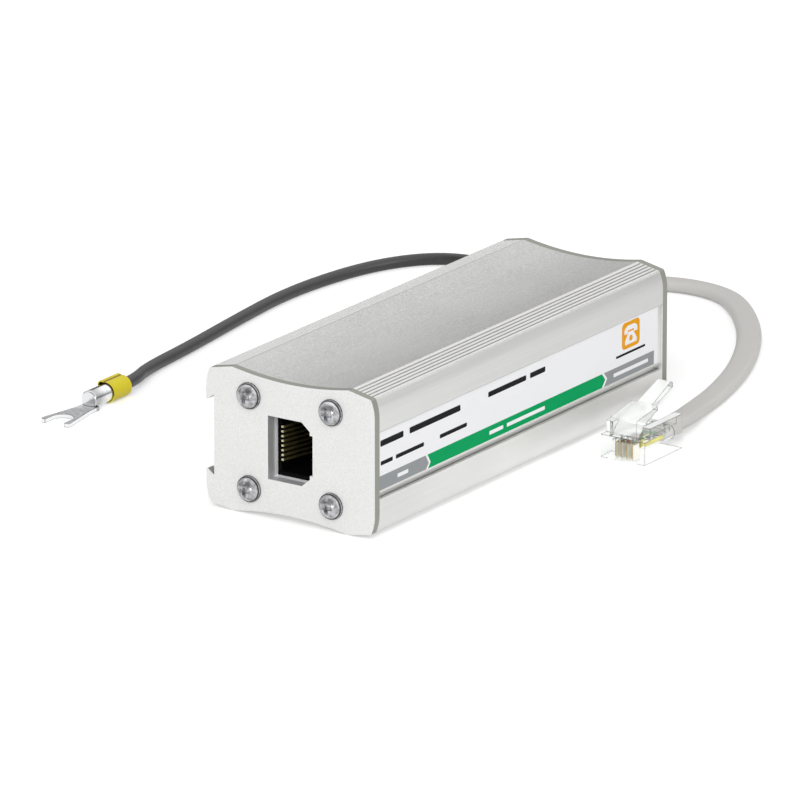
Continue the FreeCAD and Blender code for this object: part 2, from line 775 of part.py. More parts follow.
def earth_tail():
    """The earth wire's end inside the case, bent down onto the board's back."""
    r = WIRE_D / 2
    bend_r = WIRE_D
    bend_start = V(CORE_X + bend_r, WIRE_EXIT_Y, EXIT_Z)
    run = rod(V(GROMMET_IN_X, WIRE_EXIT_Y, EXIT_Z), bend_start, r)
    circle = Part.Wire(Part.makeCircle(r, bend_start, V(1, 0, 0)))
    pivot = bend_start.sub(V(0, bend_r, 0))
    bend = Part.Face(circle).revolve(pivot, V(0, 0, 1), 90)
    drop = rod(pivot.sub(V(bend_r, 0, 0)), V(CORE_X, BOARD_Y1, EXIT_Z), r)
    return run.fuse(bend).fuse(drop)


def grommet(make):
    """Flanged bush through the rear plate; make(grow) gives its outline."""
    neck = along_x(make(GROMMET_WALL - GROMMET_FIT), GROMMET_IN_X, GROMMET_OUT_X)
    outside = along_x(make(GROMMET_WALL + GROMMET_LIP), HALF_L, GROMMET_OUT_X)
    inside = along_x(make(GROMMET_WALL + GROMMET_LIP), GROMMET_IN_X, PLATE_IN_X)
    return neck.fuse(outside).fuse(inside)


def cable_grommet():
    return grommet(lambda grow: stadium(CABLE_W + 2 * grow, CABLE_T + 2 * grow, (0, CABLE_EXIT_Y, EXIT_Z)))


def wire_grommet():
    centre = V(0, WIRE_EXIT_Y, EXIT_Z)
    return grommet(lambda grow: Part.Wire(Part.makeCircle(WIRE_D / 2 + grow, centre, V(1, 0, 0))))


def route(exit_y, bends, lift, straight, end):
    """Points of a cord: straight out of the case, its bends, and straight into its end."""
    start = (GROMMET_OUT_X, exit_y, EXIT_Z)
    middle = [(HALF_L + x, y, z + lift) for x, y, z in bends]
    before_end = (end[0] + straight, end[1], end[2])
    return [start] + middle + [before_end, end]


def route_wire(name, points, diameter):
    """Straight runs joined by tangent arcs; prints the radius at each point."""
    corners = [V(*p) for p in points]
    edges = []
    start = corners[0]
    radii = []
    for before, here, after in zip(corners, corners[1:], corners[2:]):
        back = before.sub(here)
        ahead = after.sub(here)
        reach = ARC_SHARE * min(back.Length, ahead.Length)
        turn = math.pi - back.getAngle(ahead)
        radii.append(round(reach / math.tan(turn / 2), 1))
        back.normalize()
        ahead.normalize()
        a = here + back * reach
        b = here + ahead * reach
        inward = back + ahead
        inward.normalize()
        radius = reach / math.tan(turn / 2)
        depth = radius / math.cos(turn / 2) - radius
        edges.append(line(start, a))
        edges.append(arc(a, here + inward * depth, b))
        start = b
    edges.append(line(start, corners[-1]))
    print(name, "radii", radii, "least in diameters", round(min(radii) / diameter, 1))
    return Part.Wire(edges)


def check_volume(name, shape, area, length):
    share = shape.Volume / (area * length)
    print(name, "length", round(length, 1), "volume over section x length", round(share, 4))


def flat_cable():
    """Flat cable, its wide side level all the way."""
    end = (CABLE_END_X, PLUG_Y, PLUG_CAVITY_Z)
    points = route(CABLE_EXIT_Y, CABLE_BENDS, CABLE_T / 2, CABLE_STRAIGHT, end)
    path = route_wire("flat_cable", points, CABLE_W)
    section = stadium(CABLE_W, CABLE_T, points[0])
    sweep = Part.BRepOffsetAPI.MakePipeShell(path)
    sweep.setBiNormalMode(V(0, 0, 1))
    sweep.setTransitionMode(1)
    sweep.add(section)
    sweep.build()
    sweep.makeSolid()
    solid = sweep.shape()
    check_volume("flat_cable", solid, Part.Face(section).Area, path.Length)
    return solid


def earth_wire():
    end = (WIRE_END_X, TERM_Y, TERM_Z)
    points = route(WIRE_EXIT_Y, WIRE_BENDS, WIRE_D / 2, WIRE_STRAIGHT, end)
    path = route_wire("earth_wire", points, WIRE_D)
    section = Part.Wire(Part.makeCircle(WIRE_D / 2, V(*points[0]), V(1, 0, 0)))
    solid = path.makePipeShell([section], True, True)
    check_volume("earth_wire", solid, Part.Face(section).Area, path.Length)
    return solid


def blade_places():
    middle = (BLADE_COUNT - 1) / 2
    return [PLUG_Y + (index - middle) * BLADE_PITCH for index in range(BLADE_COUNT)]


def plug_body():
    """Clear plug body: low nose, latch channel between two side walls, blade
    slots in the nose, and a stepped hollow for the cable and its cores."""
    x0 = PLUG_NOSE_X
    x1 = PLUG_REAR_X
    y0 = PLUG_Y - PLUG_W / 2
    y1 = PLUG_Y + PLUG_W / 2
    step_x = x0 + PLUG_STEP_X
    side = [(x0, 0), (x1, 0), (x1, PLUG_H), (step_x, PLUG_H), (step_x, PLUG_FLOOR_Z), (x0, PLUG_FLOOR_Z)]
    body = along_y(side, y0, y1)
    upright = [e for e in body.Edges if abs(e.Vertexes[0].Point.z - e.Vertexes[-1].Point.z) > PLUG_ROUND]
    body = body.makeFillet(PLUG_ROUND, upright)
    half_c = PLUG_CHANNEL_W / 2
    channel = box(x0, x1 + OVER, PLUG_Y - half_c, PLUG_Y + half_c, PLUG_FLOOR_Z, PLUG_H + OVER)
    body = body.cut(channel)
    hinge_x = x0 + LATCH_HINGE_X
    hinge_z = PLUG_FLOOR_Z + LATCH_HINGE_UP
    hinge_r = LATCH_HINGE_R + LATCH_HINGE_GAP
    body = body.cut(rod(V(hinge_x, PLUG_Y - half_c, hinge_z), V(hinge_x, PLUG_Y + half_c, hinge_z), hinge_r))
    gap = PLUG_CAVITY_GAP
    mouth = stadium(CABLE_W + 2 * gap, CABLE_T + 2 * gap, (0, PLUG_Y, PLUG_CAVITY_Z))
    body = body.cut(along_x(mouth, CABLE_END_X, x1 + OVER))
    core_half_w = (BLADE_COUNT * BLADE_PITCH) / 2
    core_half_h = CORE_PLUG_D / 2 + gap
    body = body.cut(box(
        CABLE_END_X - PLUG_CORE_DEPTH, CABLE_END_X, PLUG_Y - core_half_w, PLUG_Y + core_half_w,
        PLUG_CAVITY_Z - core_half_h, PLUG_CAVITY_Z + core_half_h,
    ))
    window_x0 = CABLE_END_X + PLUG_WINDOW_INSET
    body = body.cut(box(
        window_x0, window_x0 + PLUG_WINDOW_L, PLUG_Y - core_half_w, PLUG_Y + core_half_w,
        PLUG_CAVITY_Z, PLUG_H,
    ))
    slot_half = BLADE_T / 2 + BLADE_SLOT_GAP
    slot_x1 = x0 + BLADE_X0 + BLADE_L + BLADE_SLOT_GAP
    slot_z1 = PLUG_FLOOR_Z - BLADE_SLOT_ROOF
    slots = [box(x0 - OVER, slot_x1, y - slot_half, y + slot_half, -OVER, slot_z1) for y in blade_places()]
    return body.cut(slots)


def plug_blade(y):
    """Gold contact blade in the nose, with the round corner that the socket spring rides on."""
    x0 = PLUG_NOSE_X + BLADE_X0
    z0 = BLADE_Z0
    z1 = z0 + BLADE_H
    blade = box(x0, x0 + BLADE_L, y - BLADE_T / 2, y + BLADE_T / 2, z0, z1)
    corner = [
        e for e in blade.Edges
        if abs(e.CenterOfMass.x - x0) < NEAR and abs(e.CenterOfMass.z - z0) < NEAR
    ]
    return blade.makeFillet(BLADE_ROUND, corner)


def plug_core(y):
    """One insulated core of the cable inside the plug, ending over its blade."""
    r = CORE_PLUG_D / 2
    x0 = CABLE_END_X - PLUG_CORE_DEPTH + PLUG_CAVITY_GAP
    return rod(V(x0, y, PLUG_CAVITY_Z), V(CABLE_END_X, y, PLUG_CAVITY_Z), r)


def plug_latch():
    """Sprung latch of the plug: hinge bead, thick root block, wide tongue and
    the narrow finger lever."""
    x0 = PLUG_NOSE_X
    hinge_x = x0 + LATCH_HINGE_X
    hinge_z = PLUG_FLOOR_Z + LATCH_HINGE_UP
    half_w = LATCH_W / 2
    y0 = PLUG_Y - half_w
    y1 = PLUG_Y + half_w
    front = hinge_x - LATCH_HINGE_R
    wide_x = x0 + LATCH_WIDE_X
    knee_x = x0 + LATCH_KNEE_X
    rise = (LATCH_WIDE_Z - LATCH_FRONT_Z) / (wide_x - front)
    wide = along_y([
        (front, hinge_z),
        (front, LATCH_FRONT_Z - LATCH_FRONT_CHAMFER),
        (front + LATCH_FRONT_CHAMFER, LATCH_FRONT_Z + rise * LATCH_FRONT_CHAMFER),
        (wide_x, LATCH_WIDE_Z),
        (wide_x, LATCH_WIDE_Z - LATCH_T),
        (knee_x, LATCH_FRONT_Z + rise * (knee_x - front) - LATCH_KNEE_T),
        (hinge_x + LATCH_THROAT_X, hinge_z + LATCH_THROAT_UP),
        (hinge_x + LATCH_HINGE_R, hinge_z),
    ], y0, y1)
    wide = wide.fuse(rod(V(hinge_x, y0, hinge_z), V(hinge_x, y1, hinge_z), LATCH_HINGE_R))
    tip_x = x0 + LATCH_TIP_X
    slope = (LATCH_TIP_Z - LATCH_WIDE_Z) / (LATCH_TIP_X - LATCH_WIDE_X)
    root_x = wide_x - LEVER_OVERLAP
    root_z = LATCH_WIDE_Z - LEVER_OVERLAP * slope
    lever = along_y([
        (root_x, root_z),
        (tip_x - LEVER_TIP_CHAMFER, LATCH_TIP_Z),
        (tip_x, LATCH_TIP_Z - LEVER_TIP_CHAMFER / 2),
        (tip_x, LATCH_TIP_Z - LEVER_TIP_T),
        (wide_x, LATCH_WIDE_Z - LATCH_T),
    ], y0, y1)
    taper = Part.Face(polygon([
        V(root_x, PLUG_Y - LEVER_ROOT_W / 2, 0),
        V(tip_x, PLUG_Y - LEVER_TIP_W / 2, 0),
        V(tip_x, PLUG_Y + LEVER_TIP_W / 2, 0),
        V(root_x, PLUG_Y + LEVER_ROOT_W / 2, 0),
    ])).extrude(V(0, 0, LATCH_TIP_Z + OVER))
    return wide.fuse(lever.common(taper))


def fork_terminal():
    """Stamped fork terminal: flared tines, neck, and a rolled barrel that the
    wire is crimped in. The fork lies on the floor."""
    barrel_r = BARREL_D / 2
    tip_half = FORK_TIP_W / 2
    neck_half = FORK_NECK_W / 2
    slot_half = FORK_SLOT_W / 2
    neck_x = FORK_TIP_X + FORK_TAPER_L
    root_x = TERM_BARREL_X + FORK_ROOT_L
    blank = Part.Face(polygon([
        V(FORK_TIP_X, TERM_Y - tip_half, 0),
        V(neck_x, TERM_Y - neck_half, 0),
        V(root_x, TERM_Y - neck_half, 0),
        V(root_x, TERM_Y + neck_half, 0),
        V(neck_x, TERM_Y + neck_half, 0),
        V(FORK_TIP_X, TERM_Y + tip_half, 0),
    ])).extrude(V(0, 0, FORK_T))
    tips = [
        e for e in blank.Edges
        if abs(e.CenterOfMass.x - FORK_TIP_X) < NEAR and e.BoundBox.ZLength > FORK_T / 2
    ]
    blank = blank.makeFillet(FORK_TIP_ROUND, tips)
    high = FORK_T + OVER
    round_x = FORK_TIP_X + FORK_SLOT_DEPTH - slot_half
    slot = box(FORK_TIP_X - OVER, round_x, TERM_Y - slot_half, TERM_Y + slot_half, -OVER, high)
    slot = slot.fuse(rod(V(round_x, TERM_Y, -OVER), V(round_x, TERM_Y, high), slot_half))
    blank = blank.cut(slot)
    barrel_x1 = SLEEVE_X + BARREL_OVERLAP
    barrel = rod(V(TERM_BARREL_X, TERM_Y, TERM_Z), V(barrel_x1, TERM_Y, TERM_Z), barrel_r)
    rim = [
        e for e in barrel.Edges
        if abs(e.CenterOfMass.x - TERM_BARREL_X) < NEAR and e.BoundBox.XLength < NEAR
    ]
    barrel = barrel.makeFillet(BARREL_ROUND, rim)
    seam_half = BARREL_SEAM_W / 2
    top = TERM_Z + barrel_r
    seam_x1 = barrel_x1 + OVER
    seam_z0 = top - BARREL_SEAM_DEPTH
    seam = box(root_x, seam_x1, TERM_Y - seam_half, TERM_Y + seam_half, seam_z0, top + OVER)
    return barrel.cut(seam).fuse(blank)


def terminal_sleeve():
    """Yellow insulating sleeve over the crimp: a wide tube, and a narrow one
    along its shoulder that is open at the front."""
    x1 = SLEEVE_END_X
    r = SLEEVE_D / 2
    lobe_y = TERM_Y + LOBE_Y
    lobe_z = TERM_Z + LOBE_UP
    bore_x = SLEEVE_X - OVER
    barrel_x1 = SLEEVE_X + BARREL_OVERLAP
    sleeve = rod(V(SLEEVE_X, TERM_Y, TERM_Z), V(x1, TERM_Y, TERM_Z), r)
    sleeve = sleeve.fuse(rod(V(SLEEVE_X, lobe_y, lobe_z), V(x1, lobe_y, lobe_z), LOBE_R))
    front_bore_r = BARREL_D / 2 + BARREL_BORE_GAP
    wire_bore_r = WIRE_D / 2 + SLEEVE_WIRE_GAP
    return sleeve.cut([
        rod(V(bore_x, TERM_Y, TERM_Z), V(barrel_x1, TERM_Y, TERM_Z), front_bore_r),
        rod(V(bore_x, lobe_y, lobe_z), V(SLEEVE_X + LOBE_BORE_L, lobe_y, lobe_z), LOBE_BORE_R),
        rod(V(WIRE_END_X, TERM_Y, TERM_Z), V(x1 + OVER, TERM_Y, TERM_Z), wire_bore_r),
    ])


os.makedirs("parts", exist_ok=True)
save("housing", housing())
save("front_plate", front_plate())
save("rear_plate", rear_plate())
save("front_screws", screws(-1))
save("rear_screws", screws(1))
save("label", label())
save("circuit_board", circuit_board())
save("socket_shield", socket_shield())
save("socket_body", socket_body())
for number, height in enumerate(contact_heights(), start=1):
    save("socket_contact_%d" % number, socket_contact(height))
for number in range(TUBE_COUNT):
    save("gas_tube_%d" % (number + 1), gas_tube(number))
for number in range(PART_ROWS):
    save("series_resistor_%d" % (number + 1), series_resistor(number))
    save("clamp_diode_%d" % (number + 1), clamp_diode(number))
save("cable_tail", cable_tail())
save("inner_cores", inner_cores())
save("earth_tail", earth_tail())
save("cable_grommet", cable_grommet())
save("wire_grommet", wire_grommet())
save("flat_cable", flat_cable())
save("earth_wire", earth_wire())
save("plug_body", plug_body())
save("plug_latch", plug_latch())
for number, place in enumerate(blade_places(), start=1):
    save("plug_blade_%d" % number, plug_blade(place))
    save("plug_core_%d" % number, plug_core(place))
save("fork_terminal", fork_terminal())
save("terminal_sleeve", terminal_sleeve())
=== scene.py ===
import bpy, bmesh, math
from mathutils import Matrix, Vector


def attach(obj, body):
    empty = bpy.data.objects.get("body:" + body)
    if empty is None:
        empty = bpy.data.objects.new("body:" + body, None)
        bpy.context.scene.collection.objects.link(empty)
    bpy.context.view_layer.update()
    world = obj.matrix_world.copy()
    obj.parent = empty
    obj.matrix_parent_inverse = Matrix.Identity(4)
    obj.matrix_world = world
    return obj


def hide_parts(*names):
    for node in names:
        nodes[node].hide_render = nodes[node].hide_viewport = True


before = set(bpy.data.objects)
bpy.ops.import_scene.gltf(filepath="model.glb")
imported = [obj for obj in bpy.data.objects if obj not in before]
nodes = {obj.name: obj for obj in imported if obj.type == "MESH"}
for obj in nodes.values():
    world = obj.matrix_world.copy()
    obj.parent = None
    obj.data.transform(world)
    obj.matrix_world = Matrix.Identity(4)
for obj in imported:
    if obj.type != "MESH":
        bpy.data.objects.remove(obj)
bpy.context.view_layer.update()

BODY = "surge_protector"
MM = 0.001
scene = bpy.context.scene

# Places on the part, in mm
CASE_MID_Z = 13.5
SOCKET_MID_Z = 13.3
PLUG_MID_Y = -29.95
BARREL_AXIS = (68.2, 2.0)        # Y and Z of the fork terminal's barrel
LOBE_AXIS = (69.17, 3.32)        # Y and Z of the side lobe of its sleeve
CREASE_LINE = (68.608, 3.958)    # Y and Z of the crease between sleeve and lobe
SLOPE_TOP = (12.5, 13.5)         # where the case's sloped corners start, out from its middle
SLOPE_NORMAL = (0.2, 0.98)

# Camera, fitted to the photograph: degrees, mm for the lens, metres for the rest
AZIMUTH, ELEVATION = -55.967, 17.721
LENS, SENSOR = 421.18, 36
DISTANCE, SHIFT_RIGHT, SHIFT_UP = 1.7, -0.007339, -0.003085
CLIP_START, CLIP_END = 0.1, 20


def camera():
    az, el = math.radians(AZIMUTH), math.radians(ELEVATION)
    right = Vector((math.cos(az), math.sin(az), 0))
    back = Vector((math.sin(az) * math.cos(el), -math.cos(az) * math.cos(el), math.sin(el)))
    up = back.cross(right)
    cam = bpy.data.cameras.new("camera")
    cam.lens, cam.sensor_width = LENS, SENSOR
    cam.clip_start, cam.clip_end = CLIP_START, CLIP_END
    obj = bpy.data.objects.new("camera", cam)
    scene.collection.objects.link(obj)
    middle = Vector((0, 0, CASE_MID_Z * MM))
    place = middle + right * SHIFT_RIGHT + up * SHIFT_UP + back * DISTANCE
    turn = Matrix((right, up, back)).transposed().to_4x4()
    obj.matrix_world = Matrix.Translation(place) @ turn
    scene.camera = obj


camera()


# Mesh helpers
def piece(name, mesh, materials, body=BODY, smooth=True):
    """Object made of a mesh, with the given materials. It rides a body."""
    obj = bpy.data.objects.new(name, mesh)
    scene.collection.objects.link(obj)
    for m in materials:
        mesh.materials.append(m)
    for p in mesh.polygons:
        p.use_smooth = smooth
    if body:
        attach(obj, body)
    return obj


def from_bm(bm, name):
    mesh = bpy.data.meshes.new(name)
    bmesh.ops.recalc_face_normals(bm, faces=bm.faces)
    bm.to_mesh(mesh)
    bm.free()
    return mesh


def spline_line(points, steps=24):
    """Points along the smooth line of a cord's route (mm), read from its NURBS curve."""
    curve = bpy.data.curves.new("route", "CURVE")
    curve.dimensions = "3D"
    s = curve.splines.new("NURBS")
    s.points.add(len(points) - 1)
    for p, co in zip(s.points, points):
        p.co = (co[0] * MM, co[1] * MM, co[2] * MM, 1)
    s.order_u = 3
    s.use_endpoint_u = True
    s.resolution_u = steps
    obj = bpy.data.objects.new("route", curve)
    scene.collection.objects.link(obj)
    bpy.context.view_layer.update()
    ready = obj.evaluated_get(bpy.context.evaluated_depsgraph_get())
    mesh = bpy.data.meshes.new_from_object(ready)
    line = [v.co.copy() for v in mesh.vertices]
    bpy.data.objects.remove(obj)
    bpy.data.curves.remove(curve)
    bpy.data.meshes.remove(mesh)
    return line


UV_LENGTH = 0.01    # metres of cord along one unit of its UV map


def tube(name, line, section):
    """Mesh tube along a line, and its length; section holds (across, up) in metres, held level."""
    bm = bmesh.new()
    uv = bm.loops.layers.uv.new("along")
    rings, run = [], 0.0
    count = len(section)
    for i, p in enumerate(line):
        before, after = line[max(i - 1, 0)], line[min(i + 1, len(line) - 1)]
        ahead = (after - before).normalized()
        side = Vector((0, 0, 1)).cross(ahead).normalized()
        up = ahead.cross(side)
        if i:
            run += (p - line[i - 1]).length
        rings.append(([bm.verts.new(p + side * u + up * w) for u, w in section], run))
    for (r0, s0), (r1, s1) in zip(rings, rings[1:]):
        for j in range(count):
            k = (j + 1) % count
            f = bm.faces.new((r0[j], r0[k], r1[k], r1[j]))
            for loop, (along, step) in zip(f.loops, ((s0, j), (s0, j + 1), (s1, j + 1), (s1, j))):
                loop[uv].uv = (along / UV_LENGTH, step / count)
    bm.faces.new(rings[0][0][::-1])
    bm.faces.new(rings[-1][0])
    return from_bm(bm, name), run


def stadium_section(width, thick, arc=10):
    """Flat section with round sides."""
    r, h = thick / 2, width / 2 - thick / 2
    points = []
    for side in (1, -1):
        for i in range(arc + 1):
            a = math.radians(-90 + 180 * i / arc)
            points.append((side * (h + r * math.cos(a)), side * r * math.sin(a)))
    return points


def round_section(diameter, count=20):
    turns = [math.radians(360 * i / count) for i in range(count)]
    return [(diameter / 2 * math.cos(a), diameter / 2 * math.sin(a)) for a in turns]


# Cords: the routes are those of part.py, in mm
CABLE_WIDTH, CABLE_THICK = 4.8 * MM, 2.2 * MM
WIRE_DIAMETER = 2.35 * MM
CABLE_ROUTE = [
    (48.9, -3.5, 13.5), (58.4, -3.5, 13.5), (67.9, 1.8, 11.4), (74.4, 15.9, 6.4),
    (80.6, 28.2, 2.3), (91.5, 33.0, 1.1), (103.1, 29.7, 1.1), (110.3, 20.0, 1.1),
    (109.9, 8.0, 1.1), (102.0, -1.2, 1.1), (88.5, -11.4, 1.1), (72.0, -19.6, 1.1),
    (56.5, -24.4, 1.1), (44.0, -26.8, 1.3), (33.0, -29.95, 2.6), (24.2, -29.95, 2.6),
]
WIRE_ROUTE = [
    (48.9, 10.5, 13.5), (56.6, 10.5, 13.475), (64.5, 15.0, 11.175), (70.5, 24.5, 7.375),
    (77.5, 34.5, 3.175), (88.0, 42.0, 1.175), (96.4, 47.6, 1.175), (101.2, 56.4, 1.175),
    (99.4, 66.0, 1.175), (91.2, 72.6, 1.175), (79.0, 76.2, 1.175), (62.0, 77.6, 1.175),
    (43.0, 75.6, 1.175), (24.0, 73.2, 1.175), (8.5, 71.7, 1.325), (-0.5, 68.2, 2.0),
    (-5.9, 68.2, 2.0),
]


def cords(jacket, wire):
    line = spline_line(CABLE_ROUTE)
    mesh, run = tube("cable_run", line, stadium_section(CABLE_WIDTH, CABLE_THICK))
    cable = piece("cable_run", mesh, [jacket])
    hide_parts("flat_cable")
    on_cable = ["plug_body", "plug_latch"]
    on_cable += ["plug_%s_%d" % (kind, i) for kind in ("blade", "core") for i in (1, 2, 3, 4)]
    line = spline_line(WIRE_ROUTE)
    mesh, run = tube("wire_run", line, round_section(WIRE_DIAMETER))
    lead = piece("wire_run", mesh, [wire])
    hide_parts("earth_wire")


# Materials
class Nodes:
    """Builder of the nodes of a material or world. Inputs are sockets or values, lengths in mm."""

    def __init__(self, owner):
        owner.use_nodes = True
        self.owner = owner
        self.tree = owner.node_tree
        self.tree.nodes.clear()
        self.cache = {}

    def put(self, socket, value):
        if isinstance(value, bpy.types.NodeSocket):
            self.tree.links.new(value, socket)
        else:
            socket.default_value = value

    def n(self, kind, inputs=None, out=0, **props):
        """Add a node with its inputs filled, and give one of its outputs."""
        node = self.tree.nodes.new("ShaderNode" + kind)
        for k, v in props.items():
            setattr(node, k, v)
        for k, v in (inputs or {}).items():
            self.put(node.inputs[k], v)
        return node.outputs[out] if node.outputs else None

    def parts(self, vector):
        node = self.tree.nodes.new("ShaderNodeSeparateXYZ")
        self.put(node.inputs[0], vector)
        return tuple(node.outputs)

    def mm(self):
        """Object coordinates in millimetres."""
        if "mm" not in self.cache:
            self.cache["mm"] = self.scaled(self.n("TexCoord", out="Object"), (1000, 1000, 1000))
        return self.cache["mm"]

    def axes(self):
        """X, Y and Z in millimetres."""
        if "axes" not in self.cache:
            self.cache["axes"] = self.parts(self.mm())
        return self.cache["axes"]

    def normal(self):
        if "normal" not in self.cache:
            self.cache["normal"] = self.parts(self.n("NewGeometry", out="Normal"))
        return self.cache["normal"]

    def scaled(self, vector, factors):
        return self.n("VectorMath", {0: vector, 1: factors}, operation="MULTIPLY")

    def stretch(self, x, y, z):
        return self.scaled(self.mm(), (x, y, z))

    def dot(self, a, b):
        return self.n("VectorMath", {0: a, 1: b}, out="Value", operation="DOT_PRODUCT")

    def noise(self, scale=1.0, detail=3.0, rough=0.5, vector=None):
        return self.n("TexNoise", {"Vector": vector or self.mm(), "Scale": scale,
                                   "Detail": detail, "Roughness": rough}, out="Fac")

    def math(self, op, a, b=0.0):
        return self.n("Math", {0: a, 1: b}, operation=op)

    def times(self, *factors):
        product = factors[0]
        for factor in factors[1:]:
            product = self.math("MULTIPLY", product, factor)
        return product

    def above(self, value, limit):
        return self.math("GREATER_THAN", value, limit)

    def below(self, value, limit):
        return self.math("LESS_THAN", value, limit)

    def within(self, value, lo, hi):
        return self.times(self.above(value, lo), self.below(value, hi))

    def either(self, a, b):
        return self.math("MAXIMUM", a, b)

    def rest(self, mask):
        """The share that a mask leaves over."""
        return self.math("SUBTRACT", 1.0, mask)

    def away(self, value, middle=0.0):
        """Distance of a value from a middle."""
        if middle:
            value = self.math("SUBTRACT", value, middle)
        return self.math("ABSOLUTE", value)

    def around(self, axis):
        """Distance from a line along X through (y, z)."""
        dy, dz = (self.math("SUBTRACT", a, b) for a, b in zip(self.axes()[1:], axis))
        return self.math("SQRT", self.math("ADD", self.times(dy, dy), self.times(dz, dz)))

    def range(self, value, lo, hi, to_lo=0.0, to_hi=1.0):
        return self.n("MapRange", {"Value": value, "From Min": lo, "From Max": hi,
                                   "To Min": to_lo, "To Max": to_hi})

    def mix(self, fac, a, b):
        node = self.tree.nodes.new("ShaderNodeMix")
        node.data_type = "RGBA"
        for index, v in ((0, fac), (6, a), (7, b)):
            self.put(node.inputs[index], v)
        return node.outputs[2]

    def bump(self, height, strength, distance):
        return self.n("Bump", {"Height": height, "Strength": strength, "Distance": distance * MM})

    def edges(self, radius):
        """1 along sharp edges, within a radius."""
        soft = self.n("Bevel", {"Radius": radius * MM}, samples=6)
        turn = self.dot(soft, self.n("NewGeometry", out="True Normal"))
        return self.range(turn, 0.985, 0.9)

    def ray(self, kind):
        """1 for rays of one kind."""
        return self.n("LightPath", out="Is %s Ray" % kind)

    def finish(self, **inputs):
        shader = self.n("BsdfPrincipled", {k.replace("_", " "): v for k, v in inputs.items()})
        self.n("OutputMaterial", {"Surface": shader})
        return self.owner


def mat(name):
    return Nodes(bpy.data.materials.new(name))


def srgb(r, g, b):
    def lin(c):
        c /= 255
        return c / 12.92 if c <= 0.04045 else ((c + 0.055) / 1.055) ** 2.4
    return (lin(r), lin(g), lin(b), 1)


def grey(level, blue=0):
    """Grey, a little warmer or cooler by its blue."""
    return srgb(level, level, level + blue)


def groove_shade(m):
    """Masks for painted light and shade on the sloped corners: the slopes, and how deep a place
    lies in their fine grooves.
    """
    slope_out, slope_up = (12.62, 17.2), 12.0    # out from the case's middle, and up from it
    shallow, deep = 0.03, 0.22
    _, y, z = m.axes()
    y, z = m.away(y), m.away(z, CASE_MID_Z)
    height = m.math("ADD", m.times(m.math("SUBTRACT", y, SLOPE_TOP[0]), SLOPE_NORMAL[0]),
                    m.times(m.math("SUBTRACT", z, SLOPE_TOP[1]), SLOPE_NORMAL[1]))
    on_slope = m.times(m.within(y, *slope_out), m.above(z, slope_up))
    return on_slope, m.times(on_slope, m.range(height, -shallow, -deep))


def bead_shade(m):
    """Masks for the groove below the label field's bead: its inside, which gets painted light, and
    the painted shade line in it.
    """
    field_side, ledge, ledge_top, roof = -16.7, 7.2, 7.3, (8.3, 8.1)
    line_front, line_back = (-17.6, -17.35), (-17.1, -16.8)
    _, y, z = m.axes()
    inside = m.times(m.below(y, field_side), m.above(z, ledge), m.range(z, *roof))
    line = m.times(m.range(y, *line_front), m.range(y, *line_back, 1.0, 0.4))
    return inside, m.times(inside, m.below(z, ledge_top), line)


def case_aluminium():
    """Satin anodised extrusion: speckled top, faint die lines along X. Painted shade darkens the
    top, the upper band towards the rear and the grooves; painted light brightens the lower band
    towards the rear, the slopes and the groove under the bead.
    """
    m = mat("case_aluminium")
    x, y, z = m.axes()
    flat = m.range(m.away(m.normal()[2]), 0.3, 0.85)
    lines = m.noise(1, 3, 0.6, m.stretch(0.02, 3.1, 3.1))
    speck = m.noise(1, 2, 0.7, m.stretch(1.9, 2.6, 2.6))
    cloud = m.noise(0.05, 2)
    share = m.range(flat, 0, 1, 0.15, 0.8)
    tone = m.math("ADD", m.times(speck, share), m.times(lines, m.rest(share)))
    # Painted shade: the top gets a darker tone than the sides.
    top = m.mix(m.range(tone, 0.36, 0.64), grey(184, -2), grey(211, -2))
    side = m.mix(m.range(tone, 0.3, 0.7), grey(215, -2), grey(225, -2))
    # Painted shade on the upper band towards the rear; painted light on the lower band towards the
    # rear.
    rear, high = m.range(x, -48.0, 48.0), m.range(z, 8.0, 19.0)
    side = m.mix(m.times(rear, high, 0.3), side, grey(176, -2))
    side = m.mix(m.times(rear, m.rest(high)), side, grey(240, -2))
    color = m.mix(flat, side, top)
    color = m.mix(m.range(cloud, 0.35, 0.65, 0, 0.3), color, grey(212, -1))
    slope, groove = groove_shade(m)
    # Painted light on the sloped corners.
    color = m.mix(m.times(slope, 0.5), color, grey(240, -2))
    # Painted shade in the grooves, stronger on the near (-Y) side.
    depth_shade = m.range(y, -10.0, 10.0, 0.9, 0.35)
    color = m.mix(m.times(groove, depth_shade), color, grey(70, -2))
    inside, line = bead_shade(m)
    # Painted light inside the groove below the bead, and a painted shade line along its ledge.
    color = m.mix(m.times(inside, 0.8), color, grey(250, -2))
    color = m.mix(m.times(line, 0.8), color, grey(84, -2))
    return m.finish(Base_Color=color, Metallic=0.92, Roughness=m.range(tone, 0.3, 0.7, 0.36, 0.46),
                    Normal=m.bump(tone, 0.15, 0.02))


def plate_metal():
    """Bead blasted end plate, with its cut edges left grey and the socket's mouth bright."""
    m = mat("end_plate_metal")
    mouth_half_y, mouth_half_z = 5.6, 6.5
    x, y, z = m.axes()
    face = m.range(m.away(m.normal()[0]), 0.5, 0.9)
    mouth = m.times(m.below(m.away(y), mouth_half_y),
                    m.below(m.away(z, SOCKET_MID_Z), mouth_half_z), m.below(x, 0.0))
    edge = m.mix(mouth, srgb(148, 149, 141), grey(214, 2))
    grain = m.noise(2.6, 3, 0.7)
    blotch = m.noise(0.12, 2)
    flat = m.mix(m.range(grain, 0.3, 0.7), grey(227, -1), grey(243, -1))
    flat = m.mix(m.range(blotch, 0.4, 0.6, 0, 0.25), flat, grey(230, -2))
    return m.finish(Base_Color=m.mix(face, edge, flat), Metallic=m.range(face, 0, 1, 0.5, 0.22),
                    Roughness=0.44, Normal=m.bump(grain, 0.3, 0.02))


